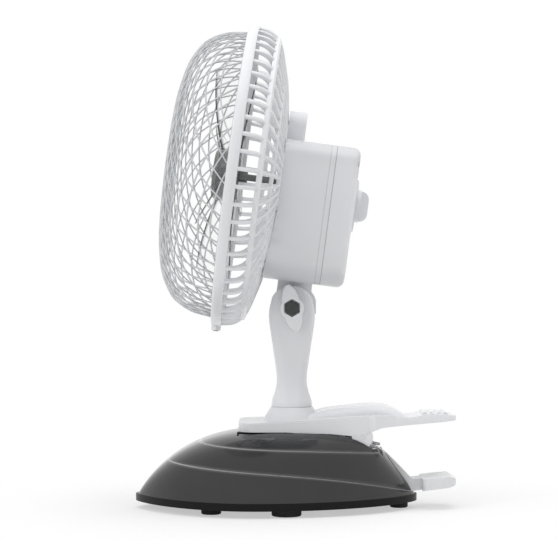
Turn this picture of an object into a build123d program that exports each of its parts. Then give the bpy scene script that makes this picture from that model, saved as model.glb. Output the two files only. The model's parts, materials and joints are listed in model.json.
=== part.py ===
from build123d import *
from math import cos, hypot, pi, radians, sin, sqrt
import os

# Small clip fan on a boat-shaped desk base, in millimetres. +Z is up, the fan blows towards -Y and
# +X is the side that the wing knob is on. The origin lies on the table, under the middle of the
# whole object. The fan head is modelled about its own axis first (x across, y from the rim back,
# z up) and is then tilted onto its pivot.

# ---------------------------------------------------------------- driving sizes, in millimetres

# Where the axes stand
half_length = 94.9            # base tip to origin, and origin to the tip of the clip levers
stem_y = -2.2                 # upright axis of the stem, which also carries the tilt pivot
tilt_pivot_z = 118.8          # height of the tilt pivot above the table
head_tilt = 7.5               # degrees that the fan looks up as it stands
axis_rise = 73.1              # fan axis above the tilt pivot, square to the fan axis
rim_lead = 47.5               # rim plane in front of the tilt pivot, along the fan axis

# Fits
shaft_gap = 0.05              # radial clearance of a turning pin or shaft
turn_gap = 0.3                # clearance between moving faces
seat_gap = 0.1                # clearance of a piece that only sits in another
clear_above = 90.0            # higher than whatever is cut away from above

# Guards
guard_radius = 90.0
hoop_width = 6.5
hoop_wall = 3.2
basket_depth = 31.5
basket_plate_radius = 37.0
rib_count = 56
rib_width = 1.9
rib_depth = 3.0
dome_depth = 37.5
wire_radius = 0.7
wire_pitch = 15.0
ring_radius = 1.2
ring_setback = 0.5            # ring's centre in front of the rim plane

# Impeller and shaft
blade_count = 4
blade_reach = 71.0
blade_thick = 1.6
hub_radius = 15.6
hub_front = 9.3               # in front of the rim plane
hub_back = 6.0                # behind the rim plane
shaft_radius = 2.0
collar_radius = 3.3
collar_length = 6.2

# Motor housing
housing_half_width = 33.0
housing_top = 24.1
housing_bottom = 57.8
housing_wall = 2.2
housing_seam = 61.5
housing_back = 75.5
top_corner = 8.0
bottom_corner = 14.0
lug_height = 18.0
lug_half_width = 16.5
lug_depth = 10.5
cover_post_radius = 3.2
switch_drop = 8.4
switch_plate_radius = 15.5
switch_plate_thick = 1.8
switch_knob_radius = 9.7
switch_knob_height = 7.0
switch_shaft_radius = 3.0
switch_shaft_sink = 5.0
switch_bar_width = 6.0

# Motor
stack_front = 41.0
stack_thick = 15.0
stack_half_width = 22.5
stack_top = 16.5
stack_bottom = 41.5
air_gap = 0.3
rotor_radius = 12.2
window_top = 17.0
window_bottom = 31.0
window_half_width = 14.5
coil_build = 4.8
bracket_thick = 1.6
bearing_radius = 5.0
bearing_length = 6.0
motor_screw_x = 18.5
motor_screw_radius = 1.5

# Neck and stem
tongue_half_thick = 7.0
tongue_radius = 10.2
ear_radius = 13.1
ear_outer = 12.5
tilt_bolt_radius = 2.5
ear_boss_radius = 8.9
ear_boss_height = 1.2
knob_length = 28.0
knob_width = 11.0
knob_thick = 8.0
knob_lean = 10.5              # degrees that the long knob leans
bolt_head_radius = 4.4
nut_radius = 4.6
nut_thick = 4.0
stem_foot_z = 60.0
stem_foot_radius = 11.9
stem_waist_radius = 8.9
stem_waist_z = 76.0
stem_corner = 4.0             # rounding of the ears' upright corners
spigot_radius = 6.0
spigot_length = 8.0
washer_radius = 8.5
washer_thick = 1.2
swivel_screw_radius = 2.0

# Clip
jaw_pivot_y = 38.8
jaw_pivot_z = 43.5
jaw_pin_radius = 2.0
jaw_eye_radius = 6.2
jaw_ear_thick = 3.6
jaw_half_width = 24.0
jaw_front = -33.4
jaw_underside = 46.4
jaw_wall = 2.2
lever_half_width = 16.0
lower_jaw_half_width = 18.0
lower_jaw_top = 44.8
lower_jaw_thick = 3.4
lower_arm_half_width = 7.0    # arm that goes down through the slot to the lower lever
lower_lever_start = 74.5
pad_half_width = 14.0
pad_front = -31.0
pad_back = -19.0
pad_sink = 1.0
spring_wire_radius = 0.8
spring_coil_radius = 4.1
spring_turns = 6.5            # half a turn over, so one leg starts low and one high
spring_low_leg = 12.0
spring_low_angle = 12.0
spring_high_leg = 20.0
spring_high_angle = 13.0

# Base
base_rear = 72.1
base_half_width = 54.2
base_wide_y = -24.0
base_high_y = 0.8
base_edge_z = 4.2
base_crown = 43.4
base_wall = 2.2
base_seam_z = 8.6
dock_half_width = 25.0
dock_rear = 51.0
slot_half_width = 7.5
dock_floor_z = 9.9
tongue_plate_half_width = 16.0
tongue_plate_thick = 1.2
tongue_plate_reach = 29.0
groove_width = 0.8
groove_deep = 0.5
foot_recess = 1.0
front_foot_radius = 5.8
side_foot_radius = 8.6
rear_foot_radius = 5.3
tray_screw_radius = 1.5

# ---------------------------------------------------------------- derived places

head_place = Pos(0, stem_y, tilt_pivot_z) * Rot(-head_tilt, 0, 0) * Pos(0, -rim_lead, axis_rise)
housing_front = basket_depth
ear_corner_radius = axis_rise - housing_bottom - turn_gap
stack_back = stack_front + stack_thick
front_bearing_y = stack_front - bearing_length - 0.5
rear_bearing_y = stack_back + 0.8
dock_front = jaw_front - 3 * turn_gap
passing_z = jaw_pivot_z - jaw_eye_radius - 2 * turn_gap


# ---------------------------------------------------------------- shared shapes


def side_plate(points, half_width, inner=0.0):
    """Solid between |x| = inner and |x| = half_width, from a closed (y, z) outline."""
    face = make_face(Plane.YZ * Polyline(*points, close=True))
    if inner:
        right = Pos(inner, 0, 0) * extrude(face, half_width - inner)
        return right + mirror(right, Plane.YZ)
    return extrude(face, half_width, both=True)


def turned(points):
    """Solid of revolution about the fan axis, from a closed (radius, y) outline."""
    return revolve(make_face(Polyline(*points, close=True)), Axis.Y)


def along_y(radius, start, end, x=0.0, z=0.0):
    """Round rod along y from start to end."""
    return Pos(x, (start + end) / 2, z) * Rot(90, 0, 0) * Cylinder(radius, end - start)


def along_x(radius, start, end, y=0.0, z=0.0):
    """Round rod along x from start to end."""
    return Pos((start + end) / 2, y, z) * Rot(0, 90, 0) * Cylinder(radius, end - start)


def along_z(radius, start, end, x=0.0, y=0.0):
    """Round rod along z from start to end."""
    return Pos(x, y, (start + end) / 2) * Cylinder(radius, end - start)


def block(x0, x1, y0, y1, z0, z1):
    """Rectangular block between two corners."""
    middle = Pos((x0 + x1) / 2, (y0 + y1) / 2, (z0 + z1) / 2)
    return middle * Box(abs(x1 - x0), abs(y1 - y0), abs(z1 - z0))


def hexagon(circumradius, start, end, y=0.0, z=0.0):
    """Hexagonal prism along x."""
    face = Plane.YZ * RegularPolygon(circumradius, 6, rotation=30)
    return Pos(start, y, z) * extrude(face, end - start)


def joined(pieces):
    """One solid from pieces that overlap."""
    return pieces[0].fuse(*pieces[1:])


def group(pieces):
    """Separate solids kept in one node."""
    return Compound(children=[piece.solid() for piece in pieces])


def round_about(piece, count, start=0.0):
    """Copies of a piece, evenly turned about the fan axis."""
    return [Rot(0, start + 360 * i / count, 0) * piece for i in range(count)]


# ---------------------------------------------------------------- rear guard

basket_outside = [
    (guard_radius - 1.0, hoop_width - 1.0),
    (guard_radius - 1.4, 13.0),
    (guard_radius - 5.0, 19.0),
    (guard_radius - 11.4, 22.7),
    (60.0, 28.0),
    (basket_plate_radius - 1.0, basket_depth),
]


def rear_guard():
    """Hoop, shoulder ring, middle ring and centre plate, joined by bent ribs."""
    inside = guard_radius - hoop_wall
    hoop = turned([(inside, -0.6), (guard_radius, -0.6), (guard_radius, hoop_width), (inside, hoop_width)])
    lip = turned([(inside - 1.8, 1.0), (inside + 0.5, 1.0), (inside + 0.5, 3.2), (inside - 1.8, 3.2)])
    shoulder = guard_radius - 5.2
    shoulder_ring = turned([(shoulder - 3, 17.6), (shoulder, 17.6), (shoulder, 20.0), (shoulder - 3, 20.0)])
    middle_ring = turned([(59, 25.6), (62, 25.6), (62, 27.2), (59, 27.2)])
    plate_front = basket_depth - 2.6
    plate = turned([(9, plate_front), (basket_plate_radius, plate_front),
                    (basket_plate_radius, basket_depth), (9, basket_depth)])
    inner = [(r - 0.9 * rib_depth, y - 0.15 * rib_depth) for r, y in basket_outside[:2]]
    inner += [(r - 0.7 * rib_depth, y - 0.7 * rib_depth) for r, y in basket_outside[2:4]]
    inner += [(r - 0.2 * rib_depth, y - 0.95 * rib_depth) for r, y in basket_outside[4:]]
    outline = [(y, r) for r, y in basket_outside + inner[::-1]]
    rib = side_plate(outline, rib_width / 2)
    guard = joined([hoop, lip, shoulder_ring, middle_ring, plate] + round_about(rib, rib_count))
    for x, z in guard_screw_places():
        guard -= along_y(1.7, plate_front - 1, basket_depth + 1, x, z)
    return guard


def guard_screw_places():
    """Four screws hold the centre plate on the front of the motor housing."""
    return [(x, z) for x in (-19, 19) for z in (-19, 15)]


def guard_screws():
    """Pan-head screws through the centre plate into the housing."""
    plate_front = basket_depth - 2.6
    screws = []
    for x, z in guard_screw_places():
        head = along_y(3.0, plate_front - 1.8, plate_front, x, z)
        shank = along_y(1.4, plate_front - 0.5, basket_depth + 6, x, z)
        screws.append(head + shank)
    return group(screws)


# ---------------------------------------------------------------- front guard


def dome_profile():
    """Half profile of the wire dome, from its centre to the rim, as (radius, height)."""
    edge = guard_radius - hoop_wall - ring_radius - seat_gap - 2 * wire_radius
    foot = (ring_setback + ring_radius + 2 * seat_gap) / dome_depth
    shape = [(0, 1), (0.34, 0.976), (0.57, 0.941), (0.685, 0.888), (0.79, 0.805),
             (0.868, 0.70), (0.93, 0.545), (0.972, 0.355), (0.993, 0.165), (1, foot)]
    return Spline([(edge * r, dome_depth * h) for r, h in shape])


def dome_point(profile, u, v, lift):
    """Point of the pressed mesh that lay at (u, v) in the flat sheet, lifted off the dome."""
    flat = hypot(u, v)
    share = min(flat / profile.length, 1.0)
    spot = profile @ share
    along = profile % share
    radius = spot.X - lift * along.Y
    height = spot.Y + lift * along.X
    flat = max(flat, 1e-6)
    return (radius * u / flat, -height, radius * v / flat)


def mesh_wire(profile, offset, normal, lift):
    """One wire: a straight line of the flat sheet, pressed onto the dome."""
    reach = sqrt(profile.length**2 - offset**2)
    steps = max(3, int(reach / 12))
    nx, nz = cos(radians(normal)), sin(radians(normal))
    points = []
    for i in range(2 * steps + 1):
        run = reach * (i / steps - 1)
        points.append(dome_point(profile, offset * nx - run * nz, offset * nz + run * nx, lift))
    path = Spline(points)
    return sweep(Plane(origin=path @ 0, z_dir=path % 0) * Circle(wire_radius), path)


def front_guard_mesh():
    """Two crossing families of wires, one laid on the other, pressed into a dome."""
    profile = dome_profile()
    count = int((profile.length - 4) / wire_pitch)
    wires = []
    for normal, lift in ((-20, 0.0), (37, 2 * wire_radius + 0.05)):
        for i in range(-count, count):
            wires.append(mesh_wire(profile, (i + 0.5) * wire_pitch, normal, lift))
    return group(wires)


def front_guard_ring():
    """Rolled wire ring around the foot of the mesh, seated inside the hoop."""
    centre = guard_radius - hoop_wall - ring_radius - seat_gap
    return Pos(0, -ring_setback, 0) * Rot(90, 0, 0) * Torus(centre, ring_radius)


def guard_latch():
    """Small moulded latch under the hoop that holds the front guard's ring."""
    under = -guard_radius
    body = block(-6, 6, -2.6, 4.6, under - 3.4, under - seat_gap)
    body = fillet(body.edges().filter_by(Axis.Z), 1.5)
    hook = block(-5, 5, -3.4, -1.9, under - 3.4, under + hoop_wall + 2.2)
    return body + hook - along_z(1.6, under - 6, under, 0, 1.4)


def latch_screw():
    """Screw that holds the latch to the hoop."""
    under = -guard_radius
    head = along_z(2.6, under - 4.6, under - 3.4, 0, 1.4)
    return head + along_z(1.5, under - 4, under - 0.2, 0, 1.4)


# ---------------------------------------------------------------- impeller and shaft


def blade_section(radius, lead, trail, turn):
    """Thin bowed strip across a blade at one radius, square to the radius."""
    lead_x, lead_y = lead
    trail_x, trail_y = trail
    mid_x, mid_y = (lead_x + trail_x) / 2, (lead_y + trail_y) / 2
    length = hypot(trail_x - lead_x, trail_y - lead_y)
    nx, ny = (trail_y - lead_y) / length, -(trail_x - lead_x) / length
    bow = 0.10 * length
    half = blade_thick / 2

    def at(x, y, shift):
        return (x + nx * shift, y + ny * shift)

    outer = Spline([at(lead_x, lead_y, half), at(mid_x, mid_y, bow + half), at(trail_x, trail_y, half)])
    inner = Spline([at(trail_x, trail_y, -half), at(mid_x, mid_y, bow - half), at(lead_x, lead_y, -half)])
    rim = [outer, Line(outer @ 1, inner @ 0), inner, Line(inner @ 1, outer @ 0)]
    face = make_face(rim)
    return Rot(0, turn, 0) * Pos(0, 0, radius) * face


def impeller():
    """Moulded hub cup with its blades, in smoky clear plastic."""
    cup = turned([(0, -hub_front), (hub_radius - 4, -hub_front), (hub_radius - 1.2, -hub_front + 1.2),
                  (hub_radius, -hub_front + 4), (hub_radius, hub_back), (hub_radius - 1.8, hub_back),
                  (hub_radius - 1.8, -hub_front + 4), (hub_radius - 3, -hub_front + 2.2), (0, -hub_front + 2.2)])
    boss = along_y(4.4, -hub_front + 1, hub_back - 1)
    bore = along_y(shaft_radius, -hub_front + 3.2, hub_back + 1)
    sections = [
        blade_section(hub_radius - 1.2, (6, -5.5), (-9, 5.4), 0),
        blade_section(36, (18, -11), (-22, 6.5), 0),
        blade_section(56, (24, -13.5), (-30, 8.5), 0),
        blade_section(blade_reach + 3, (25, -13), (-34, 9), 0),
    ]
    blade = loft(sections)
    blade = blade & blade_outline()
    return joined([cup, boss] + round_about(blade, blade_count, 8)) - bore


def blade_outline():
    """Front view of one blade: from inside the hub wall out to a round-cornered tip."""
    tip = Circle(blade_reach) - Circle(hub_radius - 1.0)
    corner = Pos(-2, 41) * Ellipse(34, 31)
    root = Pos(0, 22) * Rectangle(46, 30)
    face = tip & (corner + root)
    return Rot(90, 0, 0) * Pos(0, 0, -30) * extrude(face, 60)


def shaft():
    """Steel motor shaft, from the hub to the rear bearing."""
    return along_y(shaft_radius, -hub_front + 3.4, rear_bearing_y + bearing_length + 0.6)


def shaft_collar():
    """Steel collar behind the hub that the hub is pushed against."""
    start = hub_back - 1 + seat_gap
    ring = along_y(collar_radius, start, start + collar_length) - along_y(shaft_radius, 0, 30)
    return ring


def rotor_core():
    """Squirrel-cage rotor pressed on the shaft."""
    body = along_y(rotor_radius, stack_front + 0.4, stack_back - 0.4)
    return body - along_y(shaft_radius, stack_front, stack_back)


# ---------------------------------------------------------------- motor


def stator_core():
    """Laminated C-frame: rotor bore on top, window and coil limb below."""
    stack = block(-stack_half_width, stack_half_width, stack_front, stack_back, -stack_bottom, stack_top)
    stack = fillet(stack.edges().filter_by(Axis.Y), 2.5)
    stack -= along_y(rotor_radius + air_gap, stack_front - 1, stack_back + 1)
    stack -= block(-window_half_width, window_half_width, stack_front - 1, stack_back + 1,
                   -window_bottom, -window_top)
    for x in (-motor_screw_x, motor_screw_x):
        stack -= along_y(motor_screw_radius + seat_gap, stack_front - 1, stack_back + 1, x, 0)
    return stack


def around_limb(half_x, grow):
    """Block around the coil limb, larger than it by grow on four sides."""
    return block(-half_x, half_x, stack_front - grow, stack_back + grow,
                 -stack_bottom - grow, -window_bottom + grow)


def coil_bobbin():
    """Plastic bobbin on the lower limb, a tube with two end flanges."""
    half = window_half_width - 0.6
    flange = around_limb(half, coil_build) - around_limb(half - 1.2, coil_build + 1)
    return around_limb(half, 1.0) + flange - around_limb(half + 1, 0.1)


def coil_winding():
    """Copper winding between the bobbin's flanges, with its tape."""
    half = window_half_width - 0.6 - 1.2 - seat_gap
    return around_limb(half, coil_build - 0.8) - around_limb(half + 1, 1.0 + seat_gap)


def bearing_bracket(face_y, away):
    """Plate screwed across the stack, with the cup that holds a bearing. away is -1 or 1."""
    plate_y = sorted((face_y, face_y + away * bracket_thick))
    cup_y = sorted((face_y, face_y + away * (bearing_length + 0.9)))
    plate = block(-stack_half_width, stack_half_width, plate_y[0], plate_y[1], -7, 7)
    plate = fillet(plate.edges().filter_by(Axis.Y), 3)
    bracket = plate + along_y(bearing_radius + 1.6, cup_y[0], cup_y[1])
    bracket -= along_y(bearing_radius, cup_y[0] - 1, cup_y[1] + 1)
    for x in (-motor_screw_x, motor_screw_x):
        bracket -= along_y(motor_screw_radius + seat_gap, cup_y[0] - 1, cup_y[1] + 1, x, 0)
    return bracket


def bearing(start):
    """Sintered bronze bush."""
    bush = along_y(bearing_radius, start, start + bearing_length)
    return bush - along_y(shaft_radius + shaft_gap, start - 1, start + bearing_length + 1)


def motor_screws():
    """Two long screws through both brackets and the stack into the housing."""
    screws = []
    back = stack_back + bracket_thick
    for x in (-motor_screw_x, motor_screw_x):
        head = along_y(2.9, back, back + 2, x, 0)
        screws.append(head + along_y(motor_screw_radius, housing_front + 3.4, back + 0.5, x, 0))
    return group(screws)


# ---------------------------------------------------------------- motor housing


def housing_face(inset):
    """Front view of the housing, shrunk by inset."""
    half = housing_half_width - inset
    top = housing_top - inset
    bottom = -housing_bottom + inset
    corners = [(-half, bottom), (half, bottom), (half, top), (-half, top)]
    radii = [bottom_corner - inset, bottom_corner - inset, top_corner - inset, top_corner - inset]
    return make_face(FilletPolyline(*corners, radius=radii, close=True))


def housing_prism(inset, start, end):
    """Housing outline carried along y from start to end."""
    return Pos(0, start, 0) * Rot(90, 0, 0) * extrude(housing_face(inset), -(end - start))


def cover_screw_places():
    """Four corners where the rear cover is screwed on."""
    side = housing_half_width - housing_wall - cover_post_radius + 0.7
    low = housing_wall + cover_post_radius - housing_bottom - 0.7
    return [(-side, 14.5), (side, 14.5), (-18.0, low), (18.0, low)]


def basket_envelope(gap):
    """Room that the rear guard takes in front of the housing."""
    outline = [(0, -5)] + [(r + gap, y + gap) for r, y in basket_outside]
    outline[1:1] = [(basket_outside[0][0] + gap, -5)]
    outline += [(0, basket_depth)]
    outline[-2] = (basket_plate_radius + gap, basket_depth)
    return turned(outline)


def top_lug(inset):
    """Round-topped block on the front of the housing."""
    half = lug_half_width - inset
    top = housing_top + lug_height - inset
    corners = [(-half, housing_top - 4), (half, housing_top - 4), (half, top), (-half, top)]
    face = make_face(FilletPolyline(*corners, radius=[0, 0, 9 - inset, 9 - inset], close=True))
    length = lug_depth - inset
    return Pos(0, housing_front, 0) * Rot(90, 0, 0) * extrude(face, -length)


def motor_housing():
    """Front half of the housing, with the neck tongue and the top lug."""
    shell = housing_prism(0, basket_depth - 6, housing_seam)
    lug = top_lug(0)
    lug = fillet(lug.edges().group_by(Axis.Y)[-1], 1.2)
    shell += lug
    shell -= basket_envelope(turn_gap)
    front_wall = housing_front + 2.4
    shell -= housing_prism(housing_wall, front_wall, housing_seam + 1)
    shell -= top_lug(housing_wall) & block(-40, 40, front_wall, 100, 0, 100)
    for x, z in cover_screw_places():
        boss = along_y(cover_post_radius, front_wall - 1, housing_seam, x, z)
        shell += boss - along_y(1.4, housing_seam - 14, housing_seam + 1, x, z)
    for x in (-motor_screw_x, motor_screw_x):
        shell += along_y(3.4, front_wall - 1, stack_front - bracket_thick, x, 0)
        shell -= along_y(motor_screw_radius, front_wall, stack_front, x, 0)
    for x, z in guard_screw_places():
        shell += along_y(3.0, front_wall - 1, housing_front + 7.0, x, z)
        shell -= along_y(1.4, housing_front - 1, housing_front + 6.2, x, z)
    shell -= along_y(8.0, basket_depth - 8, front_wall + 1)
    return shell + neck_tongue() - tilt_bore()


def neck_tongue():
    """Plate under the housing that turns between the ears of the stem."""
    drop = -axis_rise
    pad = along_x(tongue_radius, -tongue_half_thick, tongue_half_thick, rim_lead, drop)
    shank = block(-tongue_half_thick, tongue_half_thick, rim_lead - tongue_radius, rim_lead + tongue_radius,
                  drop, -housing_bottom + 1)
    return pad + shank


def tilt_bore():
    """Hole for the tilt bolt through the tongue."""
    return along_x(tilt_bolt_radius + shaft_gap, -20, 20, rim_lead, -axis_rise)


def rear_cover():
    """Rear cap of the housing, with the raised plate for the switch knob and cooling slots."""
    cap = housing_prism(0, housing_seam, housing_back)
    cap = fillet(cap.edges().group_by(Axis.Y)[-1], 4.5)
    cap -= housing_prism(housing_wall, housing_seam - 1, housing_back - housing_wall)
    cap += along_y(switch_plate_radius, housing_back - 1, housing_back + switch_plate_thick, 0, -switch_drop)
    cap -= along_y(switch_shaft_radius + 0.8, housing_seam, housing_back + 5, 0, -switch_drop)
    for x, z in cover_screw_places():
        post = along_y(cover_post_radius, housing_seam, housing_back - 1, x, z)
        cap += post
        cap -= along_y(1.6, housing_seam - 1, housing_back + 1, x, z)
        cap -= along_y(2.9, housing_back - 3, housing_back + 1, x, z)
    for row in range(5):
        z = -29.5 - 4.6 * row
        cap -= block(-13, 13, housing_back - housing_wall - 1, housing_back + 1, z - 0.9, z + 0.9)
    return cap


def cover_screws():
    """Screws that hold the rear cover, with their heads sunk in it."""
    screws = []
    for x, z in cover_screw_places():
        head = along_y(2.7, housing_back - 3, housing_back - 1.2, x, z)
        screws.append(head + along_y(1.4, housing_seam - 12, housing_back - 2.5, x, z))
    return group(screws)


def switch_body():
    """Rotary switch behind the cover plate."""
    back = housing_back - housing_wall
    body = block(-8, 8, back - 8.5, back, -switch_drop - 8, -switch_drop + 8)
    body = fillet(body.edges().filter_by(Axis.Y), 2)
    return body - along_y(switch_shaft_radius + shaft_gap, back - switch_shaft_sink, back + 1, 0, -switch_drop)


def switch_shaft():
    """Shaft of the rotary switch, which turns with the knob."""
    start = housing_back - housing_wall - switch_shaft_sink + seat_gap
    end = housing_back + switch_plate_thick
    stem = along_y(switch_shaft_radius, start, end, 0, -switch_drop)
    return stem + along_y(switch_shaft_radius - 0.6, end - 1, housing_back + 5.0, 0, -switch_drop)


def switch_knob():
    """Round knob with a half-round grip bar across it."""
    start = housing_back + switch_plate_thick + turn_gap
    top = start + switch_knob_height
    skirt = along_y(switch_knob_radius, start, start + 2.2, 0, -switch_drop)
    dome = along_y(switch_knob_radius - 0.6, start + 1, top)
    dome = fillet(dome.edges().group_by(Axis.Y)[-1], 4.5)
    half_bar = switch_bar_width / 2
    bar = dome & block(-half_bar, half_bar, start, top + 1, -20, 20)
    bore = along_y(switch_shaft_radius - 0.6, start - 2, housing_back + 5.2, 0, -switch_drop)
    return skirt + Pos(0, 0, -switch_drop) * bar - bore


# ---------------------------------------------------------------- stem and tilt lock


def stem_column():
    """Column as (height, half width, half depth, corner radius): round below, flat-sided above."""
    sections = [
        (stem_foot_z, stem_foot_radius, stem_foot_radius, stem_foot_radius - seat_gap),
        (67.6, 10.4, 10.4, 8.8),
        (stem_waist_z, stem_waist_radius, stem_waist_radius, 6.4),
        (88.0, 10.1, 10.2, 5.6),
        (100.0, ear_outer - 0.8, ear_radius - 1.2, 4.8),
        (108.0, ear_outer, ear_radius, stem_corner),
        (tilt_pivot_z, ear_outer, ear_radius, stem_corner),
        (tilt_pivot_z + ear_radius, ear_outer, ear_radius, stem_corner),
    ]
    return loft([Pos(0, 0, z) * RectangleRounded(2 * x, 2 * y, corner) for z, x, y, corner in sections])


def stem():
    """Waisted column with two ears for the neck tongue and a spigot for the swivel."""
    round_top = along_x(ear_radius, -ear_outer - 1, ear_outer + 1, 0, tilt_pivot_z)
    below = block(-20, 20, -20, 20, stem_foot_z - 1, tilt_pivot_z)
    ears = stem_column() & (round_top + below)
    corner = block(-ear_outer, -tongue_half_thick, 0, ear_radius + 1.4, tilt_pivot_z - 4, tilt_pivot_z + 11)
    ears += corner & along_x(ear_corner_radius, -ear_outer, ear_outer, 0, tilt_pivot_z)
    boss = along_x(ear_boss_radius, ear_outer - 1, ear_outer + ear_boss_height, 0, tilt_pivot_z)
    spigot = along_z(spigot_radius, stem_foot_z - spigot_length, stem_foot_z + 1)
    body = ears + boss + spigot
    half_slot = tongue_half_thick + turn_gap
    slot_floor = tilt_pivot_z - tongue_radius - 1.0
    body -= block(-half_slot, half_slot, -30, 30, slot_floor, tilt_pivot_z + 40)
    body -= along_x(tilt_bolt_radius + shaft_gap, -30, 30, 0, tilt_pivot_z)
    body -= hexagon(nut_radius + seat_gap, -ear_outer - 1, -ear_outer + nut_thick, 0, tilt_pivot_z)
    body -= along_z(swivel_screw_radius - 0.2, stem_foot_z - 10, stem_foot_z + 16)
    return Pos(0, stem_y, 0) * body


def swivel_screw():
    """Screw that pulls the stem down on the jaw from below, with a wide washer under its head."""
    washer_low = stem_foot_z - spigot_length - washer_thick
    head = along_z(4.0, washer_low - 2.4, washer_low)
    shank = along_z(swivel_screw_radius - 0.2, washer_low - 1, stem_foot_z + 12)
    return Pos(0, stem_y, 0) * (head + shank)


def swivel_washer():
    """Washer between the swivel screw and the collar."""
    under = stem_foot_z - spigot_length
    ring = along_z(washer_radius, under - washer_thick, under)
    ring -= along_z(swivel_screw_radius + seat_gap, under - 3, under + 3)
    return Pos(0, stem_y, 0) * ring


def wing_knob():
    """Long clamping knob on the near ear, with a hexagonal recess for the bolt's head."""
    start = ear_outer + ear_boss_height + turn_gap
    long_half, wide_half = knob_length / 2, knob_width / 2
    outline = Plane.YZ * Rot(0, 0, knob_lean) * (Ellipse(wide_half, long_half) + Circle(wide_half + 1.4))
    body = Pos(start, 0, 0) * extrude(outline, knob_thick)
    body = fillet(body.edges().group_by(Axis.X)[-1], 1.4)
    body -= hexagon(bolt_head_radius + 0.9, start + knob_thick - 3.6, start + knob_thick + 1)
    body -= along_x(tilt_bolt_radius, start - 1, start + knob_thick + 1)
    return Pos(0, stem_y, tilt_pivot_z) * body


def tilt_bolt():
    """Bolt through the knob, both ears and the tongue, into the nut."""
    seat = ear_outer + ear_boss_height + turn_gap + knob_thick - 3.6
    head = hexagon(bolt_head_radius, seat, seat + 3.0)
    shank = along_x(tilt_bolt_radius, -ear_outer - 0.5, seat + 0.5)
    return Pos(0, stem_y, tilt_pivot_z) * (head + shank)


def tilt_nut():
    """Nut held in the far ear."""
    nut = hexagon(nut_radius, -ear_outer + seat_gap, -ear_outer + nut_thick)
    nut -= along_x(tilt_bolt_radius + shaft_gap, -30, 30)
    return Pos(0, stem_y, tilt_pivot_z) * nut


# ---------------------------------------------------------------- clip


def plan_prism(inset):
    """Plan outline of the upper jaw and lever, as a tall prism."""
    half = jaw_half_width - inset
    lever = lever_half_width - inset
    tip = half_length - inset
    front = jaw_front + inset
    corners = [(front, -half), (dock_rear - 6, -half), (dock_rear + 10, -lever), (tip, -lever),
               (tip, lever), (dock_rear + 10, lever), (dock_rear - 6, half), (front, half)]
    radii = [9 - inset, 12, 12, 10 - inset, 10 - inset, 12, 12, 9 - inset]
    line = FilletPolyline(*[(y, x) for x, y in corners], radius=radii, close=True)
    return Pos(0, 0, 20) * extrude(make_face(line), 60)


# Side outlines of the upper jaw as (y, z)
upper_jaw_top = [
    (jaw_front - 1, 51.6), (2.4, 53.0), (20.0, 54.3), (38.0, 55.6), (49.0, 55.8), (58.0, 55.3),
    (65.5, 54.5), (72.0, 55.3), (78.0, 56.4), (87.0, 56.2), (half_length + 1, 54.6),
]
upper_jaw_under = [
    (half_length + 1, 52.6), (84.0, 51.6), (62.0, 49.6), (50.5, 48.7), (46.0, 47.3), (41.0, 44.7),
    (37.0, 43.8), (31.0, 44.5), (20.0, 45.5), (0.0, jaw_underside - 0.4), (-4.0, jaw_underside),
    (jaw_front - 1, jaw_underside),
]
hump_top = [
    (2.0, 52.0), (14.8, 58.0), (27.3, 59.9), (39.2, 61.2), (54.1, 60.6), (63.0, 56.2), (68.0, 53.0),
]


def upper_jaw():
    """Upper half of the clip: plate, pivot hump, lever and the collar that the stem turns on."""
    top = Plane.YZ * Spline(upper_jaw_top)
    under = Plane.YZ * Polyline(*upper_jaw_under)
    ends = [Line(top @ 1, under @ 0), Line(under @ 1, top @ 0)]
    side = make_face([top, ends[0]] + list(under.edges()) + [ends[1]])
    plate = extrude(side, jaw_half_width + 2, both=True) & plan_prism(0)
    hump_line = Plane.YZ * Spline(hump_top)
    hump_side = make_face([hump_line, Line(hump_line @ 1, hump_line @ 0)])
    hump = extrude(hump_side, 14.5, both=True)
    hump_edges = [e for e in hump.edges() if e.center().Z > 56 and abs(e.center().X) > 14]
    hump = fillet(hump_edges, 5.0)
    collar = collar_cone()
    grips = [along_x(1.5, -lever_half_width + 4, lever_half_width - 4, y, 55.9) for y in (76, 80, 84, 88)]
    body = joined([plate, hump, collar] + grips)
    body -= jaw_cavity()
    body += jaw_eyes()
    body -= along_z(spigot_radius + shaft_gap, 40, 70, 0, stem_y)
    body -= along_z(washer_radius + turn_gap, 40, stem_foot_z - spigot_length + seat_gap, 0, stem_y)
    body -= along_x(jaw_pin_radius, -30, 30, jaw_pivot_y, jaw_pivot_z)
    return body


def collar_cone():
    """Flared collar with a level top, rising from the sloping plate."""
    top_radius = stem_foot_radius + 0.5
    foot_z = 50.0
    flare = 0.6
    height = stem_foot_z - seat_gap - foot_z
    cone = Pos(0, stem_y, foot_z + height / 2) * Cone(top_radius + flare * height, top_radius, height)
    return cone & block(-40, 40, -40, 40, 51.5, 80)


def jaw_cavity():
    """Hollow under the upper jaw, which leaves its walls and a solid nose."""
    low = jaw_underside - 12
    rise = [(y, z - jaw_wall) for y, z in upper_jaw_top if -16 < y < 90]
    main = side_plate([(-16.0, low), (-16.0, 49.6)] + rise + [(89.0, low)], jaw_half_width)
    main = main & plan_prism(jaw_wall)
    arch = [(y, z - jaw_wall) for y, z in hump_top if 14 < y < 60]
    main += side_plate([(14.8, low)] + arch + [(arch[-1][0], low)], 14.5 - jaw_wall)
    socket = along_z(spigot_radius + 3.2, stem_foot_z - spigot_length, clear_above, 0, stem_y)
    return main - socket


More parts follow.
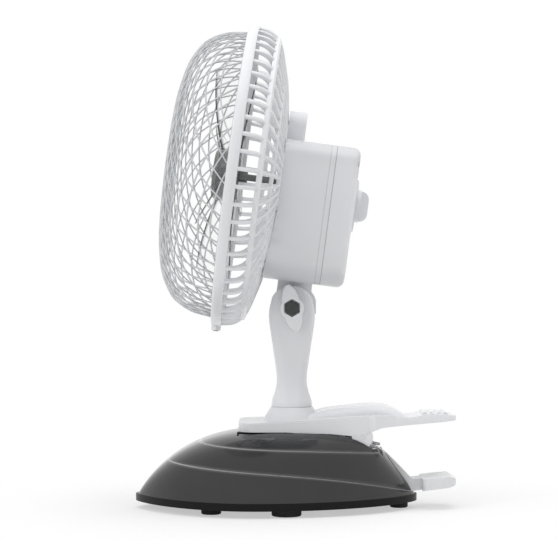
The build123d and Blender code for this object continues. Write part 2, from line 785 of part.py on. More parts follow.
def jaw_eyes():
    """Two cheeks of the upper jaw that hold the ends of the pivot pin."""
    outer = jaw_half_width - seat_gap
    inner = lower_jaw_half_width + turn_gap
    eye = along_x(jaw_eye_radius, inner, outer, jaw_pivot_y, jaw_pivot_z)
    web = block(inner, outer, jaw_pivot_y - jaw_eye_radius, jaw_pivot_y + jaw_eye_radius - 1,
                jaw_pivot_z, jaw_pivot_z + 9)
    cheek = eye + web
    return cheek + mirror(cheek, Plane.YZ)


def lower_jaw():
    """Lower half of the clip: wide jaw with eyes for the pin, narrow arm, and the lever behind."""
    thick = lower_jaw_thick
    wing_low = passing_z + turn_gap
    arm = side_plate([
        (jaw_front, lower_jaw_top), (24.0, lower_jaw_top), (30.0, 41.4), (34.5, 37.2), (45.0, 37.0),
        (49.0, 36.0), (54.3, 32.4), (62.0, 24.7), (67.6, 18.7), (69.0, 17.4), (91.0, 19.7),
        (half_length, 17.6), (half_length, 14.6), (90.5, 13.2), (72.3, 10.9), (68.4, dock_floor_z + turn_gap),
        (63.5, 14.8), (56.5, 23.0), (48.5, 31.0), (42.0, 37.0 - thick), (33.0, 37.0 - thick),
        (28.0, 38.0), (22.5, lower_jaw_top - thick), (jaw_front, lower_jaw_top - thick),
    ], lever_half_width)
    narrow = block(-lower_arm_half_width, lower_arm_half_width, jaw_front, lower_lever_start, 0, clear_above)
    lever_line = FilletPolyline((-lever_half_width, lower_lever_start), (-lever_half_width, half_length),
                                (lever_half_width, half_length), (lever_half_width, lower_lever_start),
                                radius=[3, 9, 9, 3], close=True)
    lever = extrude(make_face(lever_line), clear_above)
    wings = side_plate([
        (jaw_front, lower_jaw_top), (24.0, lower_jaw_top), (30.0, wing_low + thick), (45.0, wing_low + thick),
        (45.0, wing_low), (30.0, wing_low), (22.5, lower_jaw_top - thick), (jaw_front, lower_jaw_top - thick),
    ], lower_jaw_half_width)
    wings -= block(-lower_arm_half_width, lower_arm_half_width, 26.0, clear_above, 0, clear_above)
    inner = lower_jaw_half_width - jaw_ear_thick
    eye = along_x(jaw_eye_radius, inner, lower_jaw_half_width, jaw_pivot_y, jaw_pivot_z)
    web = block(inner, lower_jaw_half_width, jaw_pivot_y - jaw_eye_radius, jaw_pivot_y + jaw_eye_radius,
                wing_low, jaw_pivot_z)
    ear = eye + web
    body = joined([arm & (narrow + lever), wings, ear, mirror(ear, Plane.YZ)])
    body -= block(-lever_half_width + 2.4, lever_half_width - 2.4, 77, half_length - 4, 5, 15.2)
    body -= along_x(jaw_pin_radius + shaft_gap, -30, 30, jaw_pivot_y, jaw_pivot_z)
    body -= block(-pad_half_width, pad_half_width, pad_front, pad_back, lower_jaw_top - pad_sink, 60)
    return body


def lower_pad():
    """Rubber grip pad let into the lower jaw."""
    return block(-pad_half_width + seat_gap, pad_half_width - seat_gap, pad_front + seat_gap,
                 pad_back - seat_gap, lower_jaw_top - pad_sink, lower_jaw_top)


def jaw_pin():
    """Steel pin that both halves of the clip turn on."""
    half = jaw_half_width - seat_gap
    return along_x(jaw_pin_radius, -half, half, jaw_pivot_y, jaw_pivot_z)


def jaw_spring():
    """Torsion spring around the pin, with a leg under each lever."""
    pitch = 2 * spring_wire_radius + 0.12
    height = pitch * spring_turns
    path = Helix(pitch, height, spring_coil_radius)
    coil = sweep(Plane(origin=path @ 0, z_dir=path % 0) * Circle(spring_wire_radius), path)
    coil = Rot(0, 90, 0) * Pos(0, 0, -height / 2) * coil
    low = Pos(-height / 2, 0, -spring_coil_radius) * Rot(-90 - spring_low_angle, 0, 0)
    high = Pos(height / 2, 0, spring_coil_radius) * Rot(-90 + spring_high_angle, 0, 0)
    low_leg = low * along_z(spring_wire_radius, 0, spring_low_leg)
    high_leg = high * along_z(spring_wire_radius, 0, spring_high_leg)
    return Pos(0, jaw_pivot_y, jaw_pivot_z) * (coil + low_leg + high_leg)


# ---------------------------------------------------------------- base


def base_half_width_at(y):
    """Half width of the base's edge: pointed in front, blunter behind."""
    if y < base_wide_y:
        share = (base_wide_y - y) / (base_wide_y + half_length)
        return base_half_width * (1 - share**2) ** 0.77
    share = (y - base_wide_y) / (base_rear - base_wide_y)
    return base_half_width * (1 - share**2) ** 0.70


def base_crown_at(y):
    """Height of the base's crown above its edge."""
    if y < base_high_y:
        share = (base_high_y - y) / (base_high_y + half_length)
        return base_crown * (1 - share**3) ** 0.78
    share = (y - base_high_y) / (base_rear - base_high_y)
    return base_crown * (1 - share**4.5) ** 0.95


def base_section(y, inset):
    """Cross-section of the base at y: a rounded arch over a flat foot."""
    half = max(base_half_width_at(y) - inset, 0.8)
    rise = max(base_crown_at(y) - inset, 0.8)
    points = []
    for i in range(13):
        turn = pi * i / 12
        across = cos(turn)
        side = 1 if across >= 0 else -1
        points.append((side * half * abs(across) ** (2 / 3), y, base_edge_z + rise * sin(turn) ** (2 / 3)))
    points[0] = (half, y, base_edge_z)
    points[-1] = (-half, y, base_edge_z)
    return make_face([Spline(points), Line(points[-1], points[0])])


def base_hull(inset=0.0):
    """Whole rounded body of the base, shrunk by inset."""
    front, rear = -half_length + inset, base_rear - inset
    middle, half = (front + rear) / 2, (rear - front) / 2
    stations = [middle - half * cos(pi * (i + 0.42) / 14.84) for i in range(15)]
    return loft([base_section(y, inset) for y in stations])


def dock_room(grow):
    """Opening that takes the clip: wide over the jaws, narrow where the lever leaves."""
    wide = block(-dock_half_width - grow, dock_half_width + grow, dock_front - grow, dock_rear + grow,
                 dock_floor_z - grow, clear_above)
    narrow = block(-slot_half_width - grow, slot_half_width + grow, dock_rear - 5, base_rear + 9,
                   dock_floor_z - grow, clear_above)
    passing = block(-dock_half_width - grow, dock_half_width + grow, dock_rear - 5, base_rear + 9,
                    passing_z - grow, clear_above)
    return wide + narrow + passing


def groove_strip(points):
    """Thin bent sheet across the base that marks a parting groove."""
    line = Plane.YZ * Spline(points)
    upper = Plane.YZ * Spline([(y, z + groove_width) for y, z in points])
    face = make_face([line, Line(line @ 1, upper @ 1), upper, Line(upper @ 0, line @ 0)])
    return extrude(face, base_half_width + 5, both=True)


def base_shell():
    """Glossy upper shell with its dock opening, tongue plate and two parting grooves."""
    hull = base_hull()
    core = base_hull(groove_deep)
    high = groove_strip([(-62, 40.0), (-30, 39.6), (2, 37.6), (30, 35.4), (60, 31.5)])
    low = groove_strip([(-85, 29.6), (-55, 28.4), (-26, 26.8), (0, 23.6), (28, 19.2), (56, 12.2), (75, 6.0)])
    cavity = base_hull(base_wall)
    shell = hull - (high + low - core)
    shell -= block(-80, 80, -120, 120, -5, base_seam_z)
    shell -= cavity - dock_room(base_wall)
    shell -= dock_room(0)
    shell += tongue_plate()
    for x, y in tray_screw_places():
        boss = along_z(3.4, base_seam_z - 1, 60, x, y) & base_hull(base_wall - 0.6)
        boss -= block(-80, 80, -120, 120, -5, base_seam_z)
        shell += boss - along_z(tray_screw_radius - 0.1, base_seam_z - 1, base_seam_z + 12, x, y)
    return shell


def tongue_plate():
    """Thin plate that stands back into the dock, for the jaws to grip."""
    top = (lower_jaw_top + jaw_underside + tongue_plate_thick) / 2
    end = dock_front + tongue_plate_reach
    plate = block(-tongue_plate_half_width, tongue_plate_half_width, dock_front - 1.5, end,
                  top - tongue_plate_thick, top)
    return fillet(plate.edges().filter_by(Axis.Z).group_by(Axis.Y)[-1], 5)


def base_plan(inset):
    """Plan outline of the base's edge, shrunk by inset."""
    front, rear = -half_length + inset, base_rear - inset
    middle, reach = (front + rear) / 2, (rear - front) / 2
    stations = [middle - reach * cos(pi * i / 16) for i in range(17)]
    right = Spline([(max(base_half_width_at(y) - inset, 0), y) for y in stations])
    left = mirror(right, Plane.YZ)
    edges = [right, left]
    if inset:
        edges += [Line(right @ 0, left @ 0), Line(right @ 1, left @ 1)]
    return make_face(edges)


def base_tray():
    """Flat tray that closes the base from below."""
    height = base_seam_z - base_edge_z
    tray = Pos(0, 0, base_edge_z) * extrude(base_plan(0), height)
    tray -= Pos(0, 0, base_edge_z + base_wall) * extrude(base_plan(base_wall), height)
    for x, y, radius in foot_places():
        tray -= along_z(radius + seat_gap, 0, base_edge_z + foot_recess, x, y)
    for x, y in tray_screw_places():
        tray += along_z(3.4, base_edge_z, base_seam_z, x, y)
        tray -= along_z(tray_screw_radius + seat_gap, 0, 20, x, y)
        tray -= along_z(3.2, 0, base_edge_z + 1.8, x, y)
    return tray


def foot_places():
    """Feet as x, y and radius: two in front, two at the sides and one behind."""
    feet = [(x, -49.0, front_foot_radius) for x in (-31.0, 31.0)]
    feet += [(x, -5.5, side_foot_radius) for x in (-39.0, 39.0)]
    return feet + [(0.0, 61.5, rear_foot_radius)]


def base_feet():
    """Rubber feet let into the tray."""
    feet = []
    for x, y, radius in foot_places():
        foot = along_z(radius, 0, base_edge_z + foot_recess, x, y)
        feet.append(fillet(foot.edges().group_by(Axis.Z)[0], 0.8))
    return group(feet)


def tray_screw_places():
    """Four screws hold the tray to the shell."""
    return [(-35.0, -30.0), (35.0, -30.0), (-32.0, 17.0), (32.0, 17.0)]


def tray_screws():
    """Screws from below, with their heads sunk in the tray."""
    screws = []
    for x, y in tray_screw_places():
        head = along_z(2.9, base_edge_z + 0.2, base_edge_z + 1.8, x, y)
        screws.append(head + along_z(tray_screw_radius - 0.1, base_edge_z + 1, base_seam_z + 10, x, y))
    return group(screws)


# ---------------------------------------------------------------- the nodes

on_the_head = {
    "rear_guard": rear_guard,
    "guard_screws": guard_screws,
    "front_guard_mesh": front_guard_mesh,
    "front_guard_ring": front_guard_ring,
    "guard_latch": guard_latch,
    "latch_screw": latch_screw,
    "fan_blade": impeller,
    "motor_shaft": shaft,
    "shaft_collar": shaft_collar,
    "rotor_core": rotor_core,
    "stator_core": stator_core,
    "coil_bobbin": coil_bobbin,
    "coil_winding": coil_winding,
    "front_bracket": lambda: bearing_bracket(stack_front, -1),
    "rear_bracket": lambda: bearing_bracket(stack_back, 1),
    "front_bearing": lambda: bearing(front_bearing_y),
    "rear_bearing": lambda: bearing(rear_bearing_y),
    "motor_screws": motor_screws,
    "motor_housing": motor_housing,
    "rear_cover": rear_cover,
    "cover_screws": cover_screws,
    "switch_body": switch_body,
    "switch_shaft": switch_shaft,
    "switch_knob": switch_knob,
}

on_the_stand = {
    "stem": stem,
    "swivel_screw": swivel_screw,
    "swivel_washer": swivel_washer,
    "wing_knob": wing_knob,
    "tilt_bolt": tilt_bolt,
    "tilt_nut": tilt_nut,
    "upper_jaw": upper_jaw,
    "lower_jaw": lower_jaw,
    "lower_jaw_pad": lower_pad,
    "jaw_pin": jaw_pin,
    "jaw_spring": jaw_spring,
    "base_shell": base_shell,
    "base_tray": base_tray,
    "base_feet": base_feet,
    "tray_screws": tray_screws,
}

os.makedirs("parts", exist_ok=True)
for name, make in on_the_head.items():
    export_step(head_place * make(), f"parts/{name}.step")
for name, make in on_the_stand.items():
    export_step(make(), f"parts/{name}.step")
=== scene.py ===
"""Small clip fan on its glossy desk base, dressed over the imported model."""

import json

import bmesh
import bpy
import numpy as np
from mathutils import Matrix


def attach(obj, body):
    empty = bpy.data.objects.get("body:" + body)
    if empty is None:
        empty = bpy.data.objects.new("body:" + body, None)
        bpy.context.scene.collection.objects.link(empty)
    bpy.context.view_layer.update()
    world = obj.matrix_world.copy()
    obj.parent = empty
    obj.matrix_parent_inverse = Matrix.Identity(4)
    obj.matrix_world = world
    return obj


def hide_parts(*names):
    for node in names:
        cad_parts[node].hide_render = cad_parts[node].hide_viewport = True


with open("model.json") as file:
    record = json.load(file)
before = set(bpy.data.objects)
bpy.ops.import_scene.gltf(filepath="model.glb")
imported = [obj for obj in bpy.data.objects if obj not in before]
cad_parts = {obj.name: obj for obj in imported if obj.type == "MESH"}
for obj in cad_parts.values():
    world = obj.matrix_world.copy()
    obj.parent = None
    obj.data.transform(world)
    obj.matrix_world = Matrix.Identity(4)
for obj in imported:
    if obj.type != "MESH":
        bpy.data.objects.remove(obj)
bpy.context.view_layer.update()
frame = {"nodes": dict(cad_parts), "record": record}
nodes = frame["nodes"]


# ---- Studio ------------------------------------------------------------------------------------
# A long lens looks straight at the fan's side from table height. Soft boxes and a pale room
# light it, and the white surround is what the camera, the gloss and the clear plastic see.

camera_distance = 1.096
aim = (-0.0101, 0.141)
pixels_across = 557
metres_per_pixel = 0.000595
film_width = 36.0

lens = bpy.data.cameras.new("camera")
lens.sensor_fit = "HORIZONTAL"
lens.sensor_width = film_width
lens.lens = film_width * camera_distance / (pixels_across * metres_per_pixel)
camera = bpy.data.objects.new("camera", lens)
camera.location = (camera_distance, *aim)
camera.rotation_euler = (np.pi / 2, 0, np.pi / 2)
bpy.context.scene.collection.objects.link(camera)
bpy.context.scene.camera = camera
bpy.context.scene.view_settings.view_transform = "Standard"


def soft_box(name, place, size, power):
    """Area lamp at place, turned to face the middle of the fan. The gloss doesn't mirror it."""
    lamp = bpy.data.lights.new(name, "AREA")
    lamp.shape = "RECTANGLE"
    lamp.size, lamp.size_y = size
    lamp.energy = power
    box = bpy.data.objects.new(name, lamp)
    box.location = place
    away = np.array(place, float) - (0.0, 0.0, aim[1])
    pitch = np.arctan2(np.hypot(away[0], away[1]), away[2])
    box.rotation_euler = (pitch, 0, np.arctan2(away[1], away[0]) + np.pi / 2)
    box.visible_glossy = False
    bpy.context.scene.collection.objects.link(box)


soft_box("front_box", (0.9, -1.2, 0.9), (1.2, 1.2), 12)
soft_box("rear_box", (0.3, 1.4, 0.5), (1.0, 1.0), 4)
soft_box("top_box", (0.1, 0.1, 1.6), (1.2, 1.2), 17)


class Value:
    """A socket whose arithmetic adds Math nodes, so that 0.05 + 0.03 * a is written as it reads."""

    def __init__(self, finish, socket):
        self.finish, self.socket = finish, socket

    def maths(self, operation, first, second=0.0):
        return self.finish.node("ShaderNodeMath", {"operation": operation}, {0: first, 1: second})

    def __add__(self, other):
        return self.maths("ADD", self, other)

    def __sub__(self, other):
        return self.maths("SUBTRACT", self, other)

    def __mul__(self, other):
        return self.maths("MULTIPLY", self, other)

    def __truediv__(self, other):
        return self.maths("DIVIDE", self, other)

    def __pow__(self, other):
        return self.maths("POWER", self, other)

    __radd__ = __add__
    __rmul__ = __mul__


class Finish:
    """A material and its nodes. The fixed numbers of its surface are given by name."""

    def __init__(self, name, **fixed):
        self.material = bpy.data.materials.new(name)
        self.material.use_nodes = True
        self.tree = self.material.node_tree
        self.surface = self.tree.nodes["Principled BSDF"]
        for socket, value in fixed.items():
            self.surface.inputs[socket.replace("_", " ")].default_value = value

    def feed(self, socket, value):
        if isinstance(value, Value):
            self.tree.links.new(value.socket, socket)
        else:
            socket.default_value = value

    def node(self, kind, settings=None, sockets=None, out=0):
        """Any node: its settings first, then the values or links of its sockets."""
        made = self.tree.nodes.new(kind)
        for name, value in (settings or {}).items():
            setattr(made, name, value)
        for name, value in (sockets or {}).items():
            self.feed(made.inputs[name], value)
        return Value(self, made.outputs[out])

    def set(self, **links):
        """Links worked-out values to the surface's own sockets."""
        for name, value in links.items():
            self.feed(self.surface.inputs[name.replace("_", " ")], value)
        return self

    def noise(self, scale, detail=3.0):
        """Cloudy pattern from 0 to 1 that is fixed to the piece."""
        place = self.node("ShaderNodeTexCoord", out=3)
        return self.node("ShaderNodeTexNoise", None, {"Vector": place, "Scale": scale, "Detail": detail})

    def painted(self, name):
        """Number that the piece's mesh carries at each point."""
        return self.node("ShaderNodeAttribute", {"attribute_name": name}, None, out=2)

    def between(self, share, first, second):
        """Colour between two colours."""
        sockets = {0: share, 6: (*first, 1.0), 7: (*second, 1.0)}
        return self.node("ShaderNodeMix", {"data_type": "RGBA"}, sockets, out=2)

    def flattened(self, value):
        """Value without its sign, and 1 at most."""
        size = self.node("ShaderNodeMath", {"operation": "ABSOLUTE"}, {0: value})
        return self.node("ShaderNodeMath", {"operation": "MINIMUM"}, {0: size, 1: 1.0})

    def line(self, place, middle, reach):
        """1 where place is middle, fading to 0 at reach from it."""
        gap = self.node("ShaderNodeMath", {"operation": "ABSOLUTE"}, {0: place - middle})
        return self.node("ShaderNodeMapRange", {"interpolation_type": "SMOOTHSTEP"},
                         {"Value": gap, "From Min": 0.0, "From Max": reach, "To Min": 1.0, "To Max": 0.0})

    def bump(self, height, depth):
        return self.node("ShaderNodeBump", None, {"Height": height, "Distance": depth, "Strength": 1.0})


def backdrop_rays(tree):
    """1 for the rays that see the white surround: the camera's, the gloss's and clear plastic's."""
    rays = tree.nodes.new("ShaderNodeLightPath")
    seen = rays.outputs["Is Camera Ray"]
    for other in ("Is Transmission Ray", "Is Glossy Ray"):
        either = tree.nodes.new("ShaderNodeMath")
        either.operation = "MAXIMUM"
        tree.links.new(seen, either.inputs[0])
        tree.links.new(rays.outputs[other], either.inputs[1])
        seen = either.outputs[0]
    return seen


surround = bpy.data.worlds.new("surround")
bpy.context.scene.world = surround
surround.use_nodes = True
strength = surround.node_tree.nodes.new("ShaderNodeMapRange")
strength.inputs["To Min"].default_value = 0.33
strength.inputs["To Max"].default_value = 1.0
background = surround.node_tree.nodes["Background"]
background.inputs["Color"].default_value = (1.0, 1.0, 1.0, 1.0)
surround.node_tree.links.new(backdrop_rays(surround.node_tree), strength.inputs["Value"])
surround.node_tree.links.new(strength.outputs[0], background.inputs["Strength"])

floor_mesh = bpy.data.meshes.new("floor")
floor_mesh.from_pydata([(-4, -4, 0), (4, -4, 0), (4, 4, 0), (-4, 4, 0)], [], [(0, 1, 2, 3)])
floor = bpy.data.objects.new("floor", floor_mesh)
bpy.context.scene.collection.objects.link(floor)
paper = Finish("paper", Roughness=0.9)
paper.set(Base_Color=paper.between(paper.noise(60.0), (0.88, 0.88, 0.88), (0.90, 0.90, 0.90)))
# Away from the fan the paper shows plain white, so that it runs into the background unseen.
shadow_reach, white_from = 0.09, 0.22
spot = paper.node("ShaderNodeTexCoord", out=3)
away = paper.node("ShaderNodeVectorMath", {"operation": "LENGTH"}, {0: spot}, out=1)
fading = paper.node("ShaderNodeMapRange", {"interpolation_type": "SMOOTHSTEP"},
                    {"Value": away, "From Min": shadow_reach, "From Max": white_from, "To Min": 0.5})
glow = paper.node("ShaderNodeEmission", None, {"Color": (1.0, 1.0, 1.0, 1.0), "Strength": 1.0})
plain = Value(paper, paper.surface.outputs[0])
seen = Value(paper, backdrop_rays(paper.tree))
mixed = paper.node("ShaderNodeMixShader", None, {0: fading * seen, 1: plain, 2: glow})
paper.tree.links.new(mixed.socket, paper.tree.nodes["Material Output"].inputs["Surface"])
floor_mesh.materials.append(paper.material)


# ---- Base tray, feet and their screws ------------------------------------------------------------
# The flat black tray closes the base from below. Four screws go up through it into the shell,
# and five round rubber feet are pressed into its recesses.

bodies = {node: body for body, held in frame["record"]["behaviour"]["bodies"].items() for node in held}


def show(piece, finish, body, *stands_for):
    """Links a new piece, gives it its finish and lets it ride on a body in place of CAD nodes."""
    bpy.context.scene.collection.objects.link(piece)
    piece.data.materials.clear()
    piece.data.materials.append(finish.material)
    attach(piece, body)
    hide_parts(*stands_for)
    return piece


def smooth(mesh, angle):
    """Round shading, with edges sharper than angle (degrees) left crisp."""
    mesh.shade_smooth()
    mesh.set_sharp_from_angle(angle=np.radians(angle))


def moulded(node, finish, rounding=0.0003, angle=32):
    """A CAD node with its loose triangles merged, flats joined and edges eased by rounding."""
    mesh = nodes[node].data.copy()
    mesh.name = node + "_moulded"
    work = bmesh.new()
    work.from_mesh(mesh)
    bmesh.ops.remove_doubles(work, verts=work.verts, dist=2e-6)
    bmesh.ops.dissolve_limit(work, angle_limit=np.radians(0.03), verts=work.verts, edges=work.edges)
    work.to_mesh(mesh)
    work.free()
    smooth(mesh, angle)
    piece = bpy.data.objects.new(node + "_moulded", mesh)
    show(piece, finish, bodies[node], node)
    if rounding:
        ease = piece.modifiers.new("eased edges", "BEVEL")
        ease.width = rounding
        ease.segments = 2
        ease.limit_method = "ANGLE"
        ease.angle_limit = np.radians(angle)
        ease.harden_normals = True
    return piece


def wear(node, finish):
    """Gives a CAD node that keeps its own mesh its finish."""
    nodes[node].data.materials.clear()
    nodes[node].data.materials.append(finish.material)


black_gloss = Finish("black_gloss", Specular_IOR_Level=0.5)
black_gloss.set(Base_Color=black_gloss.between(black_gloss.noise(25.0), (0.018, 0.018, 0.019),
                                                (0.023, 0.023, 0.023)),
                Roughness=0.05 + 0.03 * black_gloss.noise(90.0))
rubber = Finish("rubber", Roughness=0.85)
rubber.set(Base_Color=rubber.between(rubber.noise(300.0), (0.02, 0.02, 0.02), (0.035, 0.035, 0.035)),
           Normal=rubber.bump(rubber.noise(1500.0), 0.0001))
steel = Finish("steel", Metallic=1.0, Roughness=0.3)
steel.set(Base_Color=steel.between(steel.noise(200.0), (0.55, 0.55, 0.55), (0.68, 0.68, 0.68)))

tray_black = Finish("tray_black", Specular_IOR_Level=0.12)
tray_black.set(Base_Color=tray_black.between(tray_black.noise(40.0), (0.006, 0.006, 0.006),
                                              (0.010, 0.010, 0.010)),
               Roughness=0.25 + 0.1 * tray_black.noise(90.0))
moulded("base_tray", tray_black)
wear("base_feet", rubber)
wear("tray_screws", steel)


# ---- Base shell ----------------------------------------------------------------------------------
# Boat-shaped cover moulded in glossy black. Two fine parting grooves run down its flanks, and a
# dock is open at the top and the back, with a thin tongue that the clip's jaws grip.

tip_front, tip_rear = -94.9, 72.1
widest_at, half_width = -24.0, 54.2
highest_at, crown = 0.8, 43.4
edge_z, seam_z = 4.2, 8.6
groove_wide, groove_deep = 0.9, 0.45


def base_half_width(y):
    """W (1 - s^2)^p, with s from the widest place to either tip; p is 0.77 in front, 0.70 behind."""
    front = 1 - ((widest_at - y) / (widest_at - tip_front)).clip(0, 1) ** 2
    rear = 1 - ((y - widest_at) / (tip_rear - widest_at)).clip(0, 1) ** 2
    return half_width * np.where(y < widest_at, front ** 0.77, rear ** 0.70)


def base_crown(y):
    """H (1 - s^3)^0.78 in front of the highest place and H (1 - s^4.5)^0.95 behind it, but from
    the hinge back no more than 4 (1 - e^(-b / 0.8)) + 1.3 b, b from the rear tip, met softly."""
    front = 1 - ((highest_at - y) / (highest_at - tip_front)).clip(0, 1) ** 3
    rear = 1 - ((y - highest_at) / (tip_rear - highest_at)).clip(0, 1) ** 4.5
    high = crown * np.where(y < highest_at, front ** 0.78, rear ** 0.95)
    back = (tip_rear - y).clip(0)
    limit = 4 * (1 - np.exp(-back / 0.8)) + 1.3 * back
    soft = 0.8
    return high - soft * np.logaddexp(0, (high - limit) / soft)


def grid_faces(rows, columns, close_rows=False, close_columns=False):
    """Quads over a grid of points numbered row by row, closed round either way if asked."""
    r = np.arange(rows if close_rows else rows - 1)
    c = np.arange(columns if close_columns else columns - 1)
    r, c = np.meshgrid(r, c, indexing="ij")
    r2, c2 = (r + 1) % rows, (c + 1) % columns
    corners = [r * columns + c, r * columns + c2, r2 * columns + c2, r2 * columns + c]
    return np.stack(corners, -1).reshape(-1, 4)


def tube_faces(tubes, steps, sides):
    """Sides and end caps of tubes that are alike, their points numbered one tube after another."""
    starts = np.arange(tubes) * steps * sides
    faces = (grid_faces(steps, sides, close_columns=True)[None] + starts[:, None, None]).reshape(-1, 4)
    ends = np.concatenate([starts, starts + (steps - 1) * sides]).tolist()
    return faces, [tuple(range(first, first + sides)) for first in ends]


def rounded_line(first, second, count, window):
    """Line through the points, at count even steps, rounded by the window: its length so far and
    both coordinates."""
    knots = np.concatenate([[0], np.cumsum(np.hypot(np.diff(first), np.diff(second)))])
    along = np.linspace(0, knots[-1], count)
    padded = (np.pad(np.interp(along, knots, v), len(window) // 2, "reflect", reflect_type="odd")
              for v in (first, second))
    return along, *(np.convolve(v, window, "valid") for v in padded)


def mesh_of(name, points, quads, others=()):
    """Mesh in metres from points in millimetres, its faces turned outwards."""
    mesh = bpy.data.meshes.new(name)
    mesh.from_pydata((np.asarray(points).reshape(-1, 3) / 1000).tolist(), [], quads.tolist() + list(others))
    work = bmesh.new()
    work.from_mesh(mesh)
    bmesh.ops.remove_doubles(work, verts=work.verts, dist=1e-6)
    bmesh.ops.recalc_face_normals(work, faces=work.faces)
    work.to_mesh(mesh)
    work.free()
    return mesh


def spaced(first, last, count):
    """Columns of evenly spaced values from first to last, given per station."""
    return first[:, None] + (last - first)[:, None] * np.linspace(0, 1, count)[None, :]


station = np.linspace(0, np.pi, 150)
reach = np.linspace(tip_front, tip_rear, 4001)
tall = reach[base_crown(reach) > seam_z - edge_z + 0.2]
along = (tall[0] + tall[-1]) / 2 - (tall[-1] - tall[0]) / 2 * np.cos(station)
wide, high = base_half_width(along), base_crown(along)


def upper_groove_at(y):
    """Height of the upper groove's line: a cubic in y through five places."""
    return np.polyval(np.polyfit([-60, -30, 2, 30, 58], [40.6, 38.4, 37.2, 35.8, 33.2], 3), y)


def lower_groove_at(y):
    """Height of the lower groove's line: a cubic in y through six places."""
    return np.polyval(np.polyfit([-84, -55, -26, 0, 28, 56], [30.4, 27.6, 25.6, 23.3, 19.7, 13.9], 3), y)


def turn_at(z):
    """Turn t at which each section reaches the height z."""
    return np.arcsin(((z - edge_z) / high).clip(0.0, 0.97) ** 1.5)


# A section's point is (W cos^(2/3) t, H sin^(2/3) t); each groove takes its own stretch of t.
bands, depths = [], []
low = turn_at(np.full_like(along, seam_z))
for groove in (lower_groove_at(along), upper_groove_at(along)):
    share = (groove - edge_z) / high
    fade = (np.interp(share, [0.14, 0.2, 0.955, 0.97], [0, 1, 1, 0]))[:, None]
    below = np.maximum(turn_at(groove - groove_wide / 2), low)
    above = np.maximum(turn_at(groove + groove_wide / 2), below + 1e-4)
    bands += [spaced(low, below, 14)[:, :-1], spaced(below, above, 6)[:, :-1]]
    depths += [np.zeros((len(along), 13)), groove_deep * fade * np.array([0, 0.8, 1, 1, 0.8])[None, :]]
    low = above
bands.append(spaced(low, np.full_like(along, np.pi / 2), 22))
depths.append(np.zeros((len(along), 22)))
turn, sunk = np.hstack(bands), np.hstack(depths)
across = (wide[:, None] - sunk) * np.cos(turn).clip(0) ** (2 / 3)
up = edge_z + (high[:, None] - sunk) * np.sin(turn) ** (2 / 3)
across = np.hstack([across, -across[:, -2::-1]])
up = np.hstack([up, up[:, -2::-1]])
skin = np.stack([across, np.broadcast_to(along[:, None], across.shape), up], -1)
count, ring = skin.shape[:2]
ends = [tuple(range(ring)), tuple(range((count - 1) * ring, count * ring))]
hull_mesh = mesh_of("base_dome", skin, grid_faces(count, ring, close_columns=True), ends)
hull = bpy.data.objects.new("base_dome", hull_mesh)


def box_mesh(name, *blocks):
    """Closed boxes, each from (x0, x1, y0, y1, z0, z1) in millimetres."""
    corners, faces = [], []
    for x0, x1, y0, y1, z0, z1 in blocks:
        at = len(corners)
        corners += [(x, y, z) for x in (x0, x1) for y in (y0, y1) for z in (z0, z1)]
        faces += [[at + i for i in side] for side in
                  ((0, 1, 3, 2), (4, 6, 7, 5), (0, 4, 5, 1), (2, 3, 7, 6), (0, 2, 6, 4), (1, 5, 7, 3))]
    return mesh_of(name, corners, np.array(faces))


def carve(piece, cutter_mesh):
    """Cuts a mesh away from a piece for good."""
    cutter = bpy.data.objects.new("cutter", cutter_mesh)
    bpy.context.scene.collection.objects.link(cutter)
    cut = piece.modifiers.new("cut", "BOOLEAN")
    cut.operation, cut.object, cut.solver = "DIFFERENCE", cutter, "EXACT"
    bpy.context.view_layer.update()
    shaped = bpy.data.meshes.new_from_object(piece.evaluated_get(bpy.context.evaluated_depsgraph_get()))
    piece.modifiers.clear()
    piece.data = shaped
    bpy.data.objects.remove(cutter)


# The dock takes the jaws, the hinge's room behind it is narrower, the slot lets the lower arm out,
# and over the passing height the whole clip can slide out to the rear. No two cuts share a face.
dock_front, dock_rear, dock_half, dock_floor = -34.3, 44.0, 25.0, 9.9
hinge_half, hinge_rear = 18.6, 51.0
slot_half, passing, clear = 7.5, 36.7, 90
bpy.context.scene.collection.objects.link(hull)
for name, half, start_y, end_y, floor_z, top_z in (
        ("dock", dock_half, dock_front, dock_rear, dock_floor, clear),
        ("hinge", hinge_half, dock_rear - 5, hinge_rear, dock_floor + 0.02, clear + 0.5),
        ("slot", slot_half, dock_rear - 6, clear, dock_floor + 0.01, clear + 1),
        ("passing", dock_half + 0.01, dock_rear - 7, clear + 1, passing, clear + 2)):
    carve(hull, box_mesh(name, (-half, half, start_y, end_y, floor_z, top_z)))
bpy.context.scene.collection.objects.unlink(hull)

# The grooves are painted as light lines, a painted highlight that is strongest at the front. The mesh carries
# how much as "groove".
places = np.empty(len(hull.data.vertices) * 3, np.float32)
hull.data.vertices.foreach_get("co", places)
_, place_y, place_z = places.reshape(-1, 3).T * 1000
line_gap = np.minimum(np.abs(place_z - upper_groove_at(place_y)), np.abs(place_z - lower_groove_at(place_y)))
groove_highlight_fade = np.interp(place_y, [-90, -60, 20, 62], [1.0, 0.9, 0.55, 0.35])
groove_highlight_half_width = 0.32
glint = groove_highlight_fade * np.exp(-(line_gap / groove_highlight_half_width) ** 2)
hull.data.attributes.new("groove", "FLOAT", "POINT").data.foreach_set("value", glint)
# Base colour: black, mixed towards light grey along the grooves as a painted highlight, with a little random
# tone.
parting = Finish("black_gloss_groove_highlights", Specular_IOR_Level=0.42)
parting.set(Base_Color=parting.between(parting.painted("groove") + 0.03 * parting.noise(25.0),
                                       (0.018, 0.018, 0.019), (0.55, 0.55, 0.55)),
            Roughness=0.05 + 0.03 * parting.noise(90.0))
show(hull, parting, "base", "base_shell")
smooth(hull.data, 28)

tongue_mesh = box_mesh("dock_tongue", (-16, 16, dock_front - 0.1, -5.3, 45.0, 46.2))
tongue = bpy.data.objects.new("dock_tongue", tongue_mesh)
show(tongue, black_gloss, "base", "base_shell")


